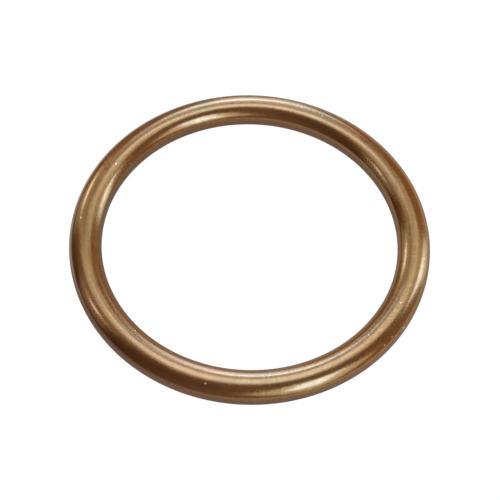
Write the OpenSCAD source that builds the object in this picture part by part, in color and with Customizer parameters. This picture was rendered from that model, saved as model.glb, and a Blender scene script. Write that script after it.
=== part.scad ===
// Hollow crush ring for an exhaust pipe joint.
// One flat washer blank is rolled up into a flattened tube, and its two edges lap on the underside.

/* [Ring] */
// Diameter of the clear way through the ring
bore_d = 41.9; // [30:0.1:60]
// Width of the ring's section, from the bore to the outside
section_w = 4.55; // [4.3:0.05:4.9]
// Height of the ring's section before it is crushed
section_h = 4; // [3.8:0.05:4.3]

/* [Section] */
// Width of the flat sealing land that the press leaves on the top and the bottom
land_w = 0.2; // [0.1:0.05:0.4]
// Outer radius of the shoulders
shoulder_r = 1.45; // [1.3:0.05:1.6]
// Turn of each bowed side, from upright to where its shoulder starts, in degrees
side_turn = 8; // [6:1:10]
// Turn of each crown, from flat to where its shoulder starts, in degrees
crown_turn = 50; // [45:1:55]

/* [Sheet and lap] */
// Thickness of the copper sheet
sheet_t = 0.4; // [0.3:0.05:0.5]
// Gap between the two layers of the lap
lap_gap = 0.06; // [0.04:0.01:0.1]
// Outer radius of the tight bend that turns the tucked edge in
tuck_bend_r = 0.7; // [0.6:0.05:0.9]
// Radius of the reverse bend that lays the tucked edge over the outer layer
joggle_r = 0.15; // [0.1:0.05:0.25]
// Distance from the end of the reverse bend to the outer layer's free edge
free_edge_clearance = 0.05; // [0:0.01:0.1]
// Distance from the tucked edge to the far end of the crown that it lies on
tuck_clearance = 1.1; // [0.9:0.1:1.4]

/* [Hidden] */

copper_colour = [0.62, 0.43, 0.25];

// Largest distance between a true bend and the flats that draw it
chord_error = 0.002;
// Steps of the turn round the ring's axis
$fn = 120;

// The section is drawn about its own middle, x outwards from the ring's axis and y up.
half_w = section_w / 2;
half_h = section_h / 2;
centreline_r = bore_d / 2 + half_w;
crown_from = 90 - crown_turn;

// The side and the crown share the shoulder's centre, and that makes two linear equations.
// Their unknowns are how much larger than the shoulder's radius the other two radii are.
side_rise = sin(side_turn);
side_bow = 1 - cos(side_turn);
crown_run = cos(crown_from);
crown_bow = 1 - sin(crown_from);
free_w = half_w - land_w / 2 - shoulder_r;
free_h = half_h - shoulder_r;
shared = crown_run * side_rise - side_bow * crown_bow;
side_r = shoulder_r + (crown_run * free_h - crown_bow * free_w) / shared;
crown_r = shoulder_r + (side_rise * free_w - side_bow * free_h) / shared;

function on_circle(centre, r, angle) = centre + r * [cos(angle), sin(angle)];
function heading(from, to) = atan2(to[1] - from[1], to[0] - from[0]);
function mirrored_x(p) = [-p[0], p[1]];
function mirrored_y(p) = [p[0], -p[1]];

// Centres of the arcs in the upper outer quarter of the section
side_c = [half_w - side_r, 0];
crown_c = [land_w / 2, half_h - crown_r];
shoulder_c = on_circle(side_c, side_r - shoulder_r, side_turn);

// The tucked layer follows the bottom crown from inside, one sheet and one gap away.
// A tight bend turns it in where the inner shoulder ends, and the reverse bend starts where it touches that bend.
tuck_r = crown_r - sheet_t - lap_gap;
tuck_bend_out = crown_r - tuck_bend_r;
joggle_out = tuck_r + joggle_r;
apart = tuck_bend_r + joggle_r;
joggle_run = acos((tuck_bend_out ^ 2 + joggle_out ^ 2 - apart ^ 2) / (2 * tuck_bend_out * joggle_out));
joggle_to = 270 - crown_turn + joggle_run;
joggle_c = on_circle(-crown_c, joggle_out, joggle_to);
tuck_bend_c = on_circle(-crown_c, tuck_bend_out, 270 - crown_turn);
joggle_from = 360 + heading(tuck_bend_c, joggle_c);

// Angles on the bottom crowns at which the two cut edges of the sheet lie
degrees_per_radian = 180 / PI;
free_edge_from = joggle_to + free_edge_clearance / crown_r * degrees_per_radian;
tuck_edge_to = 270 + asin((crown_r * crown_run - tuck_clearance) / tuck_r);

// A bend of the sheet is [centre, outer radius, first angle, last angle], as the outer face's normal turns.
// The reverse bend has its centre outside the section, so its radius is negative.
// The bends run from the free edge out along the bottom, up, over the top and down to the tucked edge.
bends = [
    [-crown_c, crown_r, free_edge_from, 270],
    [mirrored_y(crown_c), crown_r, 270, 360 - crown_from],
    [mirrored_y(shoulder_c), shoulder_r, 360 - crown_from, 360 - side_turn],
    [side_c, side_r, -side_turn, side_turn],
    [shoulder_c, shoulder_r, side_turn, crown_from],
    [crown_c, crown_r, crown_from, 90],
    [mirrored_x(crown_c), crown_r, 90, 180 - crown_from],
    [mirrored_x(shoulder_c), shoulder_r, 180 - crown_from, 180 - side_turn],
    [-side_c, side_r, 180 - side_turn, 180 + side_turn],
    [-shoulder_c, shoulder_r, 180 + side_turn, 270 - crown_turn],
    [tuck_bend_c, tuck_bend_r, 270 - crown_turn, joggle_from],
    [joggle_c, -joggle_r, joggle_from, joggle_to],
    [-crown_c, tuck_r, joggle_to, 270],
    [mirrored_y(crown_c), tuck_r, 270, tuck_edge_to]
];

// Points along one bend, on the face of the sheet that lies depth below its outer face.
// Their number is even, so that a side has one at its widest place.
function bend_points(bend, depth) =
    let (r = bend[1] - depth,
         turn = bend[3] - bend[2],
         flat_turn = 2 * acos(1 - chord_error / abs(r)),
         steps = 2 * ceil(abs(turn) / flat_turn / 2))
    [for (i = [0 : steps]) on_circle(bend[0], r, bend[2] + turn * i / steps)];

// Where one bend runs into the next, the point that they share is kept once.
same_point = 0.001;
function without_repeats(points) = [
    for (i = [0 : len(points) - 1])
        if (i == 0 || norm(points[i] - points[i - 1]) > same_point) points[i]
];

// One face of the sheet, from the free edge to the tucked edge
function sheet_face(depth) = without_repeats([for (bend = bends) each bend_points(bend, depth)]);
function reversed(points) = [for (i = [len(points) - 1 : -1 : 0]) points[i]];

module rolled_section() {
    polygon(concat(sheet_face(0), reversed(sheet_face(sheet_t))));
}

module crush_ring() {
    color(copper_colour)
    translate([0, 0, half_h])
    rotate_extrude()
    translate([centreline_r, 0])
    rolled_section();
}

crush_ring();
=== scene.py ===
# %% [markdown]
# An exhaust crush ring is a hollow ring of thin copper sheet that seals the joint between an engine
# and its pipe. One flat washer blank is rolled up into a flattened tube, and its two edges lap on the
# underside. The ring lies on its lap, so what shows is one smooth skin of satin copper, and the whole
# look comes from how that skin mirrors the studio. So form, camera and lamps are worked out together.
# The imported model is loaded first, because its box gives the ring's place and size.

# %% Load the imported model
import math

import bmesh
import bpy
from mathutils import Matrix, Vector


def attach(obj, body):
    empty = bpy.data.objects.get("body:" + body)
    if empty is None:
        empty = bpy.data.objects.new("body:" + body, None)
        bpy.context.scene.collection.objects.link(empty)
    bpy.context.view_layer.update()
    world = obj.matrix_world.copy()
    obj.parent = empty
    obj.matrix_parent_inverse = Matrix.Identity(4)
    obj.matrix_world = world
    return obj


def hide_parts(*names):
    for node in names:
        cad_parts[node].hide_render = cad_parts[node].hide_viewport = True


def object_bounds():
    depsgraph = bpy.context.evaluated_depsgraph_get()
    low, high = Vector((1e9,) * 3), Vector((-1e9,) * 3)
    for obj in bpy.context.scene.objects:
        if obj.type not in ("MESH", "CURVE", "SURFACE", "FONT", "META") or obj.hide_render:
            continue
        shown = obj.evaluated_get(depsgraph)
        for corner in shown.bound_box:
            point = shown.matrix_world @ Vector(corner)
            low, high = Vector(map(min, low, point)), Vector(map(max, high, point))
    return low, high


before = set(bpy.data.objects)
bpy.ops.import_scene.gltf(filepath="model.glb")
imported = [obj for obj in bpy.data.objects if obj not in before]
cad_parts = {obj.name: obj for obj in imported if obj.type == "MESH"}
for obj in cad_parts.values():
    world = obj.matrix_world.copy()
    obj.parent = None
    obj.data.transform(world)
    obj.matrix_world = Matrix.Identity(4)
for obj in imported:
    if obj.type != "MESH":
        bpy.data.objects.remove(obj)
bpy.ops.object.select_all(action="DESELECT")
cad_box = [[float(value) for value in corner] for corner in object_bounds()]
print("Pieces of the packed model:", list(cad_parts))
print("The packed ring's box, in metres:", cad_box)

# %% [markdown]
# Sizes are written in millimetres, as they are on the drawing of the ring, and turned into metres here.
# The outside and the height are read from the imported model's box. The rest of the section is
# the drawing's own: its width, the sheet, the land, the shoulder and the turns of its bends.

# %% Sizes of the ring
MM = 0.001
low, high = cad_box
outside_r = (high[0] - low[0]) / 2
section_h = high[2] - low[2]
section_w = 4.55 * MM
land_w = 0.2 * MM
shoulder_r = 1.45 * MM
side_turn = math.radians(8)
crown_turn = math.radians(50)
sheet_t = 0.4 * MM
lap_gap = 0.06 * MM
tuck_bend_r = 0.7 * MM
joggle_r = 0.15 * MM
free_edge_clearance = 0.05 * MM
tuck_clearance = 1.1 * MM
half_w = section_w / 2
half_h = section_h / 2
centreline_r = outside_r - half_w
print("Centreline radius of the ring, mm:", round(centreline_r / MM, 3))

# %% [markdown]
# The camera stands where the photograph was taken: 58 degrees above the ring, about 16 cm away.
# Its height and distance were found from the ring's two outlines, which a perspective view
# squeezes by different amounts at the near and the far side.

# %% Camera
aim = Vector((0.0646, -1.9779, section_h / MM / 2)) * MM
camera_elevation = math.radians(58.0187)
camera_azimuth = math.radians(-90.0432)
camera_distance = 161.677 * MM
camera_roll = math.radians(2.0942)
frame_px = 500
focal_px = 1147.12

camera_data = bpy.data.cameras.new("camera")
camera_data.sensor_width = 36
camera_data.lens = focal_px / frame_px * camera_data.sensor_width
camera_data.clip_start = 0.01
camera = bpy.data.objects.new("camera", camera_data)
bpy.context.collection.objects.link(camera)
towards_camera = Vector((
    math.cos(camera_elevation) * math.cos(camera_azimuth),
    math.cos(camera_elevation) * math.sin(camera_azimuth),
    math.sin(camera_elevation),
))
look = towards_camera.to_track_quat("Z", "Y").to_matrix().to_4x4()
camera.matrix_world = (
    Matrix.Translation(aim + camera_distance * towards_camera)
    @ look
    @ Matrix.Rotation(camera_roll, 4, "Z")
)
bpy.context.scene.camera = camera
print("Lens, mm:", round(camera_data.lens, 2))

# %% [markdown]
# The section of the ring is a chain of bends of the sheet, each one running smoothly into the next.
# The side and the crown share the shoulder's centre, which gives two linear equations for their radii.

# %% Radii and centres of the bends
side_rise = math.sin(side_turn)
side_bow = 1 - math.cos(side_turn)
crown_run = math.sin(crown_turn)
crown_bow = 1 - math.cos(crown_turn)
free_w = half_w - land_w / 2 - shoulder_r
free_h = half_h - shoulder_r
shared = crown_run * side_rise - side_bow * crown_bow
side_r = shoulder_r + (crown_run * free_h - crown_bow * free_w) / shared
crown_r = shoulder_r + (side_rise * free_w - side_bow * free_h) / shared
quarter = math.pi / 2
crown_from = quarter - crown_turn


def on_circle(centre, radius, angle):
    """A point of the section, x outwards from its middle and y up."""
    return centre + radius * Vector((math.cos(angle), math.sin(angle)))


def flipped_x(point):
    return Vector((-point.x, point.y))


def flipped_y(point):
    return Vector((point.x, -point.y))


side_c = Vector((half_w - side_r, 0))
crown_c = Vector((land_w / 2, half_h - crown_r))
shoulder_c = on_circle(side_c, side_r - shoulder_r, side_turn)
tuck_r = crown_r - sheet_t - lap_gap
tuck_bend_out = crown_r - tuck_bend_r
joggle_out = tuck_r + joggle_r
apart = tuck_bend_r + joggle_r
cosine = (tuck_bend_out**2 + joggle_out**2 - apart**2) / (2 * tuck_bend_out * joggle_out)
joggle_to = 3 * quarter - crown_turn + math.acos(cosine)
joggle_c = on_circle(-crown_c, joggle_out, joggle_to)
tuck_bend_c = on_circle(-crown_c, tuck_bend_out, 3 * quarter - crown_turn)
reach = joggle_c - tuck_bend_c
joggle_from = 4 * quarter + math.atan2(reach.y, reach.x)
free_edge_from = joggle_to + free_edge_clearance / crown_r
tuck_edge_to = 3 * quarter + math.asin((crown_r * crown_run - tuck_clearance) / tuck_r)
print("Radii of side and crown, mm:", round(side_r / MM, 4), round(crown_r / MM, 4))

# %% [markdown]
# A roller bends the sheet one radius after another, and the model is drawn the same way.
# It starts as one point at the sheet's free edge. Each bend spins the last point round the bend's
# centre, and a flat land is a plain extrude. Spin is made for this, because it keeps every radius true.
# The rows run from the free edge out along the bottom, up, over the top and down to the tucked edge.
# A row is a centre, a radius, the angles it runs from and to, and its steps. The joggle's radius is
# negative, because that bend turns the other way.

# %% The bends of the section
full_turn = 4 * quarter
bends = [
    (-crown_c, crown_r, free_edge_from, 3 * quarter, 5),
    (flipped_y(crown_c), crown_r, 3 * quarter, full_turn - crown_from, 12),
    (flipped_y(shoulder_c), shoulder_r, full_turn - crown_from, full_turn - side_turn, 8),
    (side_c, side_r, -side_turn, side_turn, 4),
    (shoulder_c, shoulder_r, side_turn, crown_from, 10),
    (crown_c, crown_r, crown_from, quarter, 16),
    (flipped_x(crown_c), crown_r, quarter, 2 * quarter - crown_from, 16),
    (flipped_x(shoulder_c), shoulder_r, 2 * quarter - crown_from, 2 * quarter - side_turn, 10),
    (-side_c, side_r, 2 * quarter - side_turn, 2 * quarter + side_turn, 4),
    (-shoulder_c, shoulder_r, 2 * quarter + side_turn, 3 * quarter - crown_turn, 8),
    (tuck_bend_c, tuck_bend_r, 3 * quarter - crown_turn, joggle_from, 5),
    (joggle_c, -joggle_r, joggle_from, joggle_to, 5),
    (-crown_c, tuck_r, joggle_to, 3 * quarter, 4),
    (flipped_y(crown_c), tuck_r, 3 * quarter, tuck_edge_to, 4),
]


def in_room(point):
    """A point of the section, set upright at the ring's right side."""
    return Vector((centreline_r + point.x, 0, half_h + point.y))


def last_point(mesh):
    """The place of the one selected vertex of the mesh that is open in edit mode."""
    net = bmesh.from_edit_mesh(mesh.data)
    return next(vertex.co.copy() for vertex in net.verts if vertex.select)


print("Bends in the section:", len(bends))

# %% Roll the section
start = in_room(on_circle(bends[0][0], bends[0][1], bends[0][2]))
bpy.ops.mesh.primitive_plane_add(size=sheet_t, location=start)
ring = bpy.context.object
ring.name = "rolled_crush_ring"
bpy.ops.object.transform_apply(location=True, rotation=True, scale=True)
bpy.ops.object.mode_set(mode="EDIT")
bpy.ops.mesh.select_mode(type="VERT")
bpy.ops.mesh.select_all(action="SELECT")
bpy.ops.mesh.merge(type="CENTER")
same_place = 0.001 * MM
for centre, radius, turn_from, turn_to, steps in bends:
    bend_start = in_room(on_circle(centre, radius, turn_from))
    land = bend_start - last_point(ring)
    if land.length > same_place:
        bpy.ops.mesh.extrude_region_move(TRANSFORM_OT_translate={"value": land})
    bpy.ops.mesh.spin(
        steps=steps,
        angle=turn_to - turn_from,
        center=in_room(centre),
        axis=(0, 1, 0),
    )
    miss = (last_point(ring) - in_room(on_circle(centre, radius, turn_to))).length
    print("Bend to", round(math.degrees(turn_to), 1), "degrees, off by mm:", round(miss / MM, 5))

# %% [markdown]
# The finished section is spun once round the ring's axis. The last copy lands on the first one, and
# a full spin merges the two, which closes the ring without a seam across it.

# %% Spin the section into a ring
ring_steps = 360
bpy.ops.mesh.select_all(action="SELECT")
bpy.ops.mesh.spin(steps=ring_steps, angle=math.tau, center=(0, 0, 0), axis=(0, 0, 1))
bpy.ops.mesh.select_all(action="SELECT")
bpy.ops.mesh.normals_make_consistent(inside=False)
bpy.ops.object.mode_set(mode="OBJECT")
print("Faces of the outer skin:", len(ring.data.polygons))

# %% [markdown]
# A Solidify modifier gives the sheet its thickness, inwards from the skin, so the outside keeps its
# size. A small bevel then takes the burr off the two cut edges of the sheet.

# %% Sheet thickness and cut edges
edge_break = 0.04 * MM
cut_edge_angle = math.radians(60)
smooth_angle = math.radians(40)
thickness = ring.modifiers.new("sheet", "SOLIDIFY")
thickness.thickness = sheet_t
thickness.offset = -1
thickness.use_even_offset = True
bpy.ops.object.modifier_apply(modifier=thickness.name)
broken_edges = ring.modifiers.new("broken_edges", "BEVEL")
broken_edges.width = edge_break
broken_edges.segments = 2
broken_edges.limit_method = "ANGLE"
broken_edges.angle_limit = cut_edge_angle
bpy.ops.object.modifier_apply(modifier=broken_edges.name)
bpy.ops.object.shade_smooth_by_angle(angle=smooth_angle)

net = bmesh.new()
net.from_mesh(ring.data)
copper_mm3 = net.calc_volume(signed=True) / MM**3
open_edges = sum(1 for edge in net.edges if len(edge.link_faces) != 2)
net.free()
triangles = sum(len(face.vertices) - 2 for face in ring.data.polygons)
print("Copper, cubic mm:", round(copper_mm3, 1), "open edges:", open_edges, "triangles:", triangles)

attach(ring, "root")
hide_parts("crush_ring")

# %% [markdown]
# The skin is copper that has dulled to bronze brown. It isn't even: patches of redder and of olive
# bronze run into each other, with a mottle of a millimetre or so on top, and a grain as fine as the
# rolled sheet's own. A painted picture could hold all that, but noise on the object's own
# coordinates has no seam and no edge, and it stays sharp however near the camera comes.

# %% Helpers for node materials
def new_material(name):
    """A material with an empty node tree and its output, ready to be wired."""
    material = bpy.data.materials.new(name)
    material.use_nodes = True
    tree = material.node_tree
    tree.nodes.clear()
    return material, tree, tree.nodes.new("ShaderNodeOutputMaterial")


def add(tree, kind, **settings):
    """A node of a tree. Names of inputs are written with _ in place of spaces."""
    made = tree.nodes.new(kind)
    for name, value in settings.items():
        if hasattr(made, name):
            setattr(made, name, value)
        else:
            made.inputs[name.replace("_", " ")].default_value = value
    return made


def math_node(tree, operation, *values):
    """A maths node. A value is a number, or the output socket of another node."""
    made = add(tree, "ShaderNodeMath", operation=operation)
    for socket, value in zip(made.inputs, values):
        if isinstance(value, (int, float)):
            socket.default_value = value
        else:
            tree.links.new(value, socket)
    return made.outputs[0]


def vector_node(tree, operation, *values):
    """A vector maths node. A value is a vector, or the output socket of another node."""
    made = add(tree, "ShaderNodeVectorMath", operation=operation)
    for socket, value in zip(made.inputs, values):
        if isinstance(value, (tuple, Vector)):
            socket.default_value = value
        else:
            tree.links.new(value, socket)
    return made.outputs["Value"] if operation in ("LENGTH", "DOT_PRODUCT") else made.outputs["Vector"]


def noise(tree, where, scale, detail=2.0, roughness=0.5):
    """Noise as one number from 0 to 1. The scale is waves to a metre, or to a unit of where."""
    made = add(tree, "ShaderNodeTexNoise", Scale=scale, Detail=detail, Roughness=roughness)
    tree.links.new(where, made.inputs["Vector"])
    return made.outputs[0]


def mapped(tree, value, from_low, from_high, to_low, to_high):
    """A value moved from one range to another, and held inside it."""
    made = add(tree, "ShaderNodeMapRange", clamp=True)
    for socket, number in zip(made.inputs[1:5], (from_low, from_high, to_low, to_high)):
        socket.default_value = number
    tree.links.new(value, made.inputs["Value"])
    return made.outputs[0]


def blend(tree, factor, first, second):
    """A colour between two colours. Each is three numbers, or another node's output socket."""
    made = add(tree, "ShaderNodeMix", data_type="RGBA")
    tree.links.new(factor, made.inputs["Factor"])
    for socket, colour in zip((made.inputs[6], made.inputs[7]), (first, second)):
        if isinstance(colour, tuple):
            socket.default_value = (*colour, 1)
        else:
            tree.links.new(colour, socket)
    return made.outputs[2]


print("Helpers ready for Blender", bpy.app.version_string)

# %% Colours of the copper
red_bronze = (0.80, 0.385, 0.135)
olive_bronze = (0.63, 0.415, 0.155)
bare_copper = (1.0, 0.76, 0.55)
patches_per_m = 110
mottle_per_m = 800
flecks_per_m = 2600
grain_per_m = 3300
usual_noise = (0.3, 0.7)

copper, tree, output = new_material("satin_copper")
here = add(tree, "ShaderNodeTexCoord").outputs["Object"]
patches = mapped(tree, noise(tree, here, patches_per_m, detail=2), 0.36, 0.64, 0, 0.5)
flecks = mapped(tree, noise(tree, here, flecks_per_m, detail=2, roughness=0.6), *usual_noise, 0, 0.55)
tone = blend(tree, math_node(tree, "ADD", patches, flecks), red_bronze, olive_bronze)
grain = noise(tree, here, grain_per_m, detail=2, roughness=0.6)
mottle = noise(tree, here, mottle_per_m, detail=3, roughness=0.6)
print("Mottle and grain, mm:", round(1 / mottle_per_m / MM, 2), round(1 / grain_per_m / MM, 2))

# %% [markdown]
# The blank was rolled and brushed, which leaves faint marks. Some run along the ring. Others cross it
# like the rungs of a ladder, in the places where the roller gripped the sheet. Both are noise on
# coordinates stretched one way: the streaks change fast over the section and slowly round the ring,
# and the rungs do the opposite. Cut into the mesh, marks this fine would need millions of faces.

# %% Marks of the rolling
rung_pitch_mm = 0.42
rung_breaks_per_m = 400
grips_per_m = 140
rung_radius = centreline_r / MM / rung_pitch_mm
flat = vector_node(tree, "MULTIPLY", here, (1, 1, 0))
round_the_ring = vector_node(tree, "NORMALIZE", flat)
from_axis = vector_node(tree, "LENGTH", flat)
split = add(tree, "ShaderNodeSeparateXYZ")
tree.links.new(here, split.inputs[0])
rung_round = vector_node(tree, "MULTIPLY", round_the_ring, (rung_radius, rung_radius, 0))
across = math_node(tree, "ADD", from_axis, split.outputs["Z"])
sideways = add(tree, "ShaderNodeCombineXYZ")
tree.links.new(math_node(tree, "MULTIPLY", across, rung_breaks_per_m), sideways.inputs["Z"])
rung_place = vector_node(tree, "ADD", rung_round, sideways.outputs[0])
gripped = mapped(tree, noise(tree, here, grips_per_m, detail=1), 0.45, 0.65, 0.2, 1)
rungs = math_node(tree, "SUBTRACT", noise(tree, rung_place, 1, detail=2), 0.5)
rungs = math_node(tree, "MULTIPLY", rungs, gripped)
print("Rungs round the ring:", round(math.tau * rung_radius))

# %% Streaks along the ring
streak_pitch_mm = 0.16
streak_radius = 9
streaks_per_m = 1 / streak_pitch_mm / MM
streak_round = vector_node(tree, "MULTIPLY", round_the_ring, (streak_radius, streak_radius, 0))
fast = add(tree, "ShaderNodeCombineXYZ")
tree.links.new(math_node(tree, "MULTIPLY", from_axis, streaks_per_m), fast.inputs["X"])
tree.links.new(math_node(tree, "MULTIPLY", split.outputs["Z"], streaks_per_m), fast.inputs["Z"])
streaks = noise(tree, vector_node(tree, "ADD", streak_round, fast.outputs[0]), 1, detail=2)
print("Length of a streak, mm:", round(centreline_r / MM / streak_radius, 1))

# %% [markdown]
# A few small knocks broke the dull skin, and bare copper shines through. Each knock has a flat floor
# that is tipped a little, so it catches a lamp which the skin round it misses. The longest is under
# two thirds of a millimetre, so each is a spot in the material, an ellipse with a ramp in the bump.
# Its row gives the heading round the ring and the turn of the section at which it lies, in degrees,
# then its length and width in millimetres, how far it leans from the ring's own direction, and how
# far its floor dips along and across. A turn of 0 faces outwards, 90 up and 180 to the axis.

# %% Knocks in the skin
knocks = {
    "chip_back_left": (151.5, 103.5, 0.54, 0.26, 35, -16, -5),
    "fleck_left": (177.0, 74.3, 0.42, 0.28, 0, -5, -2),
    "fleck_back": (72.5, 84.8, 0.26, 0.18, 20, 4, -1),
    "fleck_back_right": (64.2, 88.1, 0.26, 0.16, -20, 5, 1),
    "fleck_front_left": (227.8, 116.9, 0.28, 0.19, 0, -4, -8),
    "chip_front": (257.8, 66.8, 0.45, 0.18, 30, 10, -9),
    "scratch_right": (332.5, 89.6, 0.63, 0.19, 80, 15, -5),
    "fleck_low_right": (326.5, 24.6, 0.39, 0.24, 0, 12, 38),
    "scratch_front_right": (315.8, 100.1, 0.46, 0.15, 70, 4, -2),
    "fleck_outer_right": (321.2, 45.2, 0.26, 0.19, 0, -11, 8),
    "fleck_outer_front": (317.5, 44.1, 0.28, 0.19, 40, -2, 11),
    "fleck_inner_left": (147.2, 143.1, 0.26, 0.16, 0, -4, -8),
}


def skin_point(heading, turn):
    """The place on the outer skin at a heading round the ring and a turn of the section."""
    for centre, radius, turn_from, turn_to, _ in bends:
        if turn_from <= turn <= turn_to:
            on_section = on_circle(centre, radius, turn)
            reach_out = centreline_r + on_section.x
            return Vector((
                reach_out * math.cos(heading),
                reach_out * math.sin(heading),
                half_h + on_section.y,
            ))


print("Longest knock, mm:", max(length for _, _, length, *_ in knocks.values()))

# %% Spots and floors of the knocks
# Both are shares of a knock's half length and half width: where its rim fades out and its floor ends.
knock_rim = 1.2
knock_floor = 0.7
bared = None
floors = None
for heading, turn, length, width, lean, dip_along, dip_across in knocks.values():
    heading = math.radians(heading)
    turn = math.radians(turn)
    along = Vector((-math.sin(heading), math.cos(heading), 0))
    out = Vector((
        math.cos(turn) * math.cos(heading),
        math.cos(turn) * math.sin(heading),
        math.sin(turn),
    ))
    long_way = Matrix.Rotation(math.radians(lean), 3, out) @ along
    wide_way = out.cross(long_way)
    knock_axes = Matrix((long_way, wide_way, out)).transposed()
    on_knock = add(tree, "ShaderNodeMapping", vector_type="TEXTURE")
    on_knock.inputs["Location"].default_value = skin_point(heading, turn)
    on_knock.inputs["Rotation"].default_value = knock_axes.to_euler()
    on_knock.inputs["Scale"].default_value = (length / 2 * MM, width / 2 * MM, width / 2 * MM)
    tree.links.new(here, on_knock.inputs["Vector"])
    from_middle = vector_node(tree, "LENGTH", on_knock.outputs[0])
    spot = mapped(tree, from_middle, knock_rim, knock_floor, 0, 1)
    bared = spot if bared is None else math_node(tree, "MAXIMUM", bared, spot)
    slope = (
        -math.tan(math.radians(dip_along)) * length / 2,
        -math.tan(math.radians(dip_across)) * width / 2,
        0,
    )
    floor_mm = vector_node(tree, "DOT_PRODUCT", on_knock.outputs[0], slope)
    floors = math_node(tree, "MULTIPLY_ADD", floor_mm, spot, 0 if floors is None else floors)
print("Knocks in the skin:", len(knocks))

# %% [markdown]
# Grain, rungs and mottle make the copper lighter and darker, each by a seventh at most. Grain, rungs,
# streaks and knocks are in its relief too. The metal is satin and not polished, so lamps show in it as
# soft bands. The thin film of oxide over it is smoother, and gives the bands their pale, sharper
# cores. It is the shader's coat, with a high index, as a metal's oxide has.

# %% Light and dark of the skin
grain_shade = mapped(tree, grain, 0.25, 0.75, 0.86, 1.14)
rung_shade = mapped(tree, rungs, -0.25, 0.25, 0.9, 1.1)
mottle_shade = mapped(tree, mottle, *usual_noise, 0.93, 1.07)
shade = math_node(tree, "MULTIPLY", grain_shade, rung_shade)
shade = math_node(tree, "MULTIPLY", shade, mottle_shade)
shaded = add(tree, "ShaderNodeVectorMath", operation="SCALE")
tree.links.new(tone, shaded.inputs[0])
tree.links.new(shade, shaded.inputs["Scale"])
base_colour = blend(tree, bared, shaded.outputs["Vector"], bare_copper)
print("Nodes for the colour:", len(tree.nodes))

# %% Relief of the skin
rung_relief = 0.5
streak_relief = 0.4
knock_relief = -0.4
relief_depth = 0.03 * MM
marks_strength = 0.4
relief = math_node(tree, "MULTIPLY_ADD", rungs, rung_relief, grain)
relief = math_node(tree, "MULTIPLY_ADD", streaks, streak_relief, relief)
relief = math_node(tree, "MULTIPLY_ADD", bared, knock_relief, relief)
marks_bump = add(tree, "ShaderNodeBump", Strength=marks_strength, Distance=relief_depth)
tree.links.new(relief, marks_bump.inputs["Height"])
floors_bump = add(tree, "ShaderNodeBump", Strength=1, Distance=MM)
tree.links.new(floors, floors_bump.inputs["Height"])
tree.links.new(marks_bump.outputs[0], floors_bump.inputs["Normal"])
print("Depth of the relief, mm:", round(relief_depth / MM, 3))

# %% Satin copper
dulling_per_m = 420
brightest_roughness = 0.19
dullest_roughness = 0.27
knock_roughness = 0.03
film_roughness = 0.12
film_index = 2.06
dulling = noise(tree, here, dulling_per_m, detail=3, roughness=0.6)
dulled = mapped(tree, dulling, *usual_noise, brightest_roughness, dullest_roughness)
roughness = math_node(tree, "MULTIPLY_ADD", bared, knock_roughness, dulled)
skin = add(
    tree,
    "ShaderNodeBsdfPrincipled",
    Metallic=1,
    Coat_Weight=1,
    Coat_Roughness=film_roughness,
    Coat_IOR=film_index,
)
tree.links.new(base_colour, skin.inputs["Base Color"])
tree.links.new(roughness, skin.inputs["Roughness"])
tree.links.new(floors_bump.outputs[0], skin.inputs["Normal"])
tree.links.new(skin.outputs["BSDF"], output.inputs["Surface"])
ring.data.materials.clear()
ring.data.materials.append(copper)
print("Satin copper, nodes in all:", len(tree.nodes))

# %% [markdown]
# The floor is a plain white sheet, and the camera sees it as white. The flanks of the photographed
# ring mirror a dim grey brown table instead, which glows with its light and shade painted on. A painted
# shadow of the ring lies on it, a little forwards and to the left. Further out its painted light is
# brighter on the right and dimmer on the left, with a painted pale patch by the ring's left, as if a
# window lit it. Mirrored rays meet that table.

# %% Floor
floor_size = 6
bpy.ops.object.select_all(action="DESELECT")
bpy.ops.mesh.primitive_plane_add(size=floor_size, location=(0, 0, 0))
floor = bpy.context.object
floor.name = "floor"
sheet, tree, output = new_material("white_floor")
print("Floor, metres across:", floor_size)

# %% The table that the ring mirrors, with painted light and shade
# These colours are painted light: the ring's painted shadow, a painted dim left and bright right further
# out, and a painted pale patch of window light.
painted_shadow_colour = (0.192, 0.165, 0.17)
painted_window_light = (0.82, 0.84, 0.90)
painted_dim_light = (0.14, 0.10, 0.08)
painted_bright_light = (0.47, 0.40, 0.32)
rightwards = (1, 0, 0)
towards_window = (-0.85, 0.5, 0)
middle_of_shade = (-2 * MM, -3 * MM, 0)
shade_reach = (1 * MM, 40 * MM)
dim_to_lit = (-30 * MM, 10 * MM)
window_side = (20 * MM, 26 * MM)
window_reach = (8 * MM, 22 * MM)
on_sheet = add(tree, "ShaderNodeTexCoord").outputs["Object"]
from_shade = vector_node(tree, "LENGTH", vector_node(tree, "SUBTRACT", on_sheet, middle_of_shade))
from_ring = math_node(tree, "ABSOLUTE", math_node(tree, "SUBTRACT", from_shade, centreline_r))
out_of_painted_shadow = math_node(tree, "POWER", mapped(tree, from_ring, *shade_reach, 0, 1), 0.5)
to_window = vector_node(tree, "DOT_PRODUCT", on_sheet, towards_window)
painted_window_patch = mapped(tree, to_window, *window_side, 0, 1)
painted_window_patch = math_node(tree, "MULTIPLY", painted_window_patch, mapped(tree, from_ring, *window_reach, 1, 0))
to_right = vector_node(tree, "DOT_PRODUCT", on_sheet, rightwards)
painted_open_light = blend(tree, mapped(tree, to_right, *dim_to_lit, 0, 1), painted_dim_light, painted_bright_light)
painted_open_light = blend(tree, painted_window_patch, painted_open_light, painted_window_light)
# The table glows with these painted colours, and it is no lamp.
table = add(tree, "ShaderNodeEmission", Strength=1)
tree.links.new(blend(tree, out_of_painted_shadow, painted_shadow_colour, painted_open_light), table.inputs["Color"])
print("Brightest and darkest of the table:", max(painted_window_light), min(painted_dim_light))

# %% [markdown]
# Light Path tells the rays apart. Camera rays meet white, with a matt sheet added that is lit a little,
# so the ring keeps a faint shadow. Mirrored rays meet the table, and all others meet the matt sheet.

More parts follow.
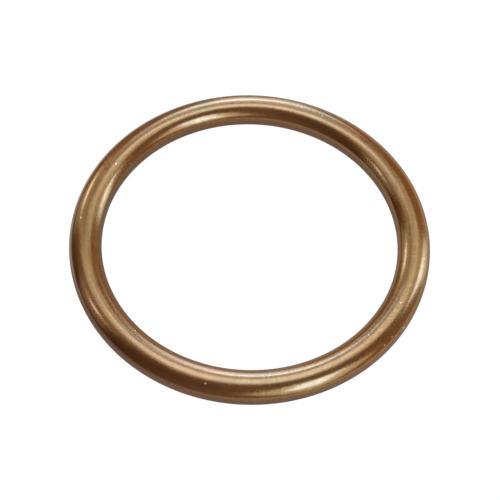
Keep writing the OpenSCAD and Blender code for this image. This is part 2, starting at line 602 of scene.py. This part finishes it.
# %% Rays that meet the floor
white = (1, 1, 1, 1)
matt_grey = (0.2, 0.2, 0.2, 1)
path = add(tree, "ShaderNodeLightPath")
matt = add(tree, "ShaderNodeBsdfDiffuse", Color=matt_grey)
glow = add(tree, "ShaderNodeEmission", Color=white, Strength=0.98)
seen = add(tree, "ShaderNodeAddShader")
tree.links.new(glow.outputs[0], seen.inputs[0])
tree.links.new(matt.outputs[0], seen.inputs[1])
for_camera = add(tree, "ShaderNodeMixShader")
tree.links.new(path.outputs["Is Camera Ray"], for_camera.inputs[0])
tree.links.new(matt.outputs[0], for_camera.inputs[1])
tree.links.new(seen.outputs[0], for_camera.inputs[2])
mirrors = math_node(tree, "MAXIMUM", path.outputs["Is Glossy Ray"], path.outputs["Is Transmission Ray"])
for_mirrors = add(tree, "ShaderNodeMixShader")
tree.links.new(mirrors, for_mirrors.inputs[0])
tree.links.new(for_camera.outputs[0], for_mirrors.inputs[1])
tree.links.new(table.outputs[0], for_mirrors.inputs[2])
tree.links.new(for_mirrors.outputs[0], output.inputs["Surface"])
floor.data.materials.append(sheet)
print("White floor, nodes:", len(tree.nodes))

# %% [markdown]
# The studio is a tent with warm, dim walls. Each wall is a soft glow round one direction, and the
# camera sees plain white in place of them. The tent stays dark between the lamps, which is what gives
# the ring its deep brown bands. Each row is a direction, a colour, and how narrow the glow is.

# %% Walls of the tent
tent = bpy.data.worlds.new("tent")
tent.use_nodes = True
bpy.context.scene.world = tent
tree = tent.node_tree
tree.nodes.clear()
output = tree.nodes.new("ShaderNodeOutputWorld")
towards = add(tree, "ShaderNodeTexCoord").outputs["Generated"]
walls = {
    "ceiling": ((0, 0, 1), (0.06, 0.03, 0.005), 1),
    "top": ((0, 0, 1), (0.095, 0.069, 0.085), 8),
    "right": ((1, 0, 0), (0.215, 0.122, 0.072), 2),
    "left": ((-1, 0, 0), (0.025, 0.014, 0.016), 2),
    "back": ((0, 1, 0), (0.265, 0.135, 0.065), 2),
    "front": ((0, -1, 0), (0.145, 0.1, 0.085), 2),
}
sum_of_walls = None
for direction, colour, sharpness in walls.values():
    facing = math_node(tree, "MAXIMUM", vector_node(tree, "DOT_PRODUCT", towards, direction), 0)
    glow = math_node(tree, "POWER", facing, sharpness)
    tint = add(tree, "ShaderNodeVectorMath", operation="SCALE")
    tint.inputs[0].default_value = colour
    tree.links.new(glow, tint.inputs["Scale"])
    wall = tint.outputs["Vector"]
    sum_of_walls = wall if sum_of_walls is None else vector_node(tree, "ADD", sum_of_walls, wall)
path = add(tree, "ShaderNodeLightPath")
surround = blend(tree, path.outputs["Is Camera Ray"], sum_of_walls, (1, 1, 1))
sky = add(tree, "ShaderNodeBackground", Strength=1)
tree.links.new(surround, sky.inputs["Color"])
tree.links.new(sky.outputs[0], output.inputs["Surface"])
print("Walls of the tent:", len(walls))

# %% [markdown]
# The lamps are flat panels round the ring. Their places were worked out from the ring itself: a lamp
# shows twice, in the outer side of the ring and in the inner side across from it, and the two mirrored
# rays meet where it stands. A soft lamp with a brighter core is two panels, a wide one and a small one.
# Headings and heights are degrees, seen from the ring's middle, and distances and sides are millimetres.
# The last numbers of a row turn the panel in its own plane and tip it, in degrees.

# %% Lamps
ring_middle = Vector((0, 0, half_h))


def panel(name, colour, heading, height, distance, width, length, lean=0, tip=0):
    """A rectangular lamp that faces the ring. Its colour is its brightness too."""
    around = math.radians(heading)
    up = math.radians(height)
    outwards = Vector((math.cos(up) * math.cos(around), math.cos(up) * math.sin(around), math.sin(up)))
    level = Vector((-math.sin(around), math.cos(around), 0))
    upright = outwards.cross(level)
    brightest = max(colour)
    lamp = bpy.data.lights.new(name, "AREA")
    lamp.shape = "RECTANGLE"
    lamp.size = width * MM
    lamp.size_y = length * MM
    lamp.color = [part / brightest for part in colour]
    lamp.energy = brightest * math.pi * lamp.size * lamp.size_y
    holder = bpy.data.objects.new(name, lamp)
    bpy.context.collection.objects.link(holder)
    holder.visible_camera = False
    holder.matrix_world = (
        Matrix.Translation(ring_middle + distance * MM * outwards)
        @ Matrix((level, upright, outwards)).transposed().to_4x4()
        @ Matrix.Rotation(math.radians(lean), 4, "Z")
        @ Matrix.Rotation(math.radians(tip), 4, "X")
    )
    return holder


lamps = [
    panel("front_right", (0.43, 0.44, 0.36), 304.3, 32.7, 450, 383, 362, 40),
    panel("right", (0.55, 0.71, 0.79), 22.8, 18.6, 450, 134, 337, -4),
    panel("back_left", (0.24, 0.24, 0.17), 133.8, 28.2, 450, 128, 437, 26),
    panel("left", (0.165, 0.14, 0.115), 175.1, 36.7, 450, 181, 530, 21),
    panel("back_right", (0.30, 0.33, 0.25), 44.8, 53.3, 450, 237, 159, 30),
    panel("front_right_core", (0.94, 1.43, 2.3), 306.4, 39.7, 450, 237, 138, 63),
    panel("right_core", (0.73, 0.93, 1.3), 20.4, 30.1, 450, 94, 213, 5),
    panel("back_left_core", (1.27, 1.50, 1.74), 132, 29.2, 450, 61, 96, 20),
    panel("left_core", (1.5, 1.55, 1.6), 176.6, 38.4, 450, 34, 98, 11),
    panel("over_close", (0.23, 0.25, 0.22), 89, 72.1, 178, 219, 59, -4, 11),
    panel("over", (0.255, 0.26, 0.25), 86, 73.6, 679, 535, 394, 16, 15),
    panel("back", (0.36, 0.50, 0.70), 94.3, 36.3, 575, 329, 250, 80, -43),
    panel("back_wall", (0.41, 0.62, 0.94), 86.9, 20.4, 450, 140, 258, 9),
    panel("over_pale", (0.43, 0.60, 0.80), 90.1, 72.3, 500, 180, 200, 3),
    panel("back_card", (0.21, 0.31, 0.43), 88.8, 26.1, 88, 61, 42, 9, -57),
    panel("back_top", (1.3, 1.7, 2.4), 93.1, 36.9, 450, 96, 56, 38),
]
print("Lamps:", len(lamps))

# %% [markdown]
# Standard shows each colour as it is written.

# %% Finish
bpy.context.scene.view_settings.view_transform = "Standard"
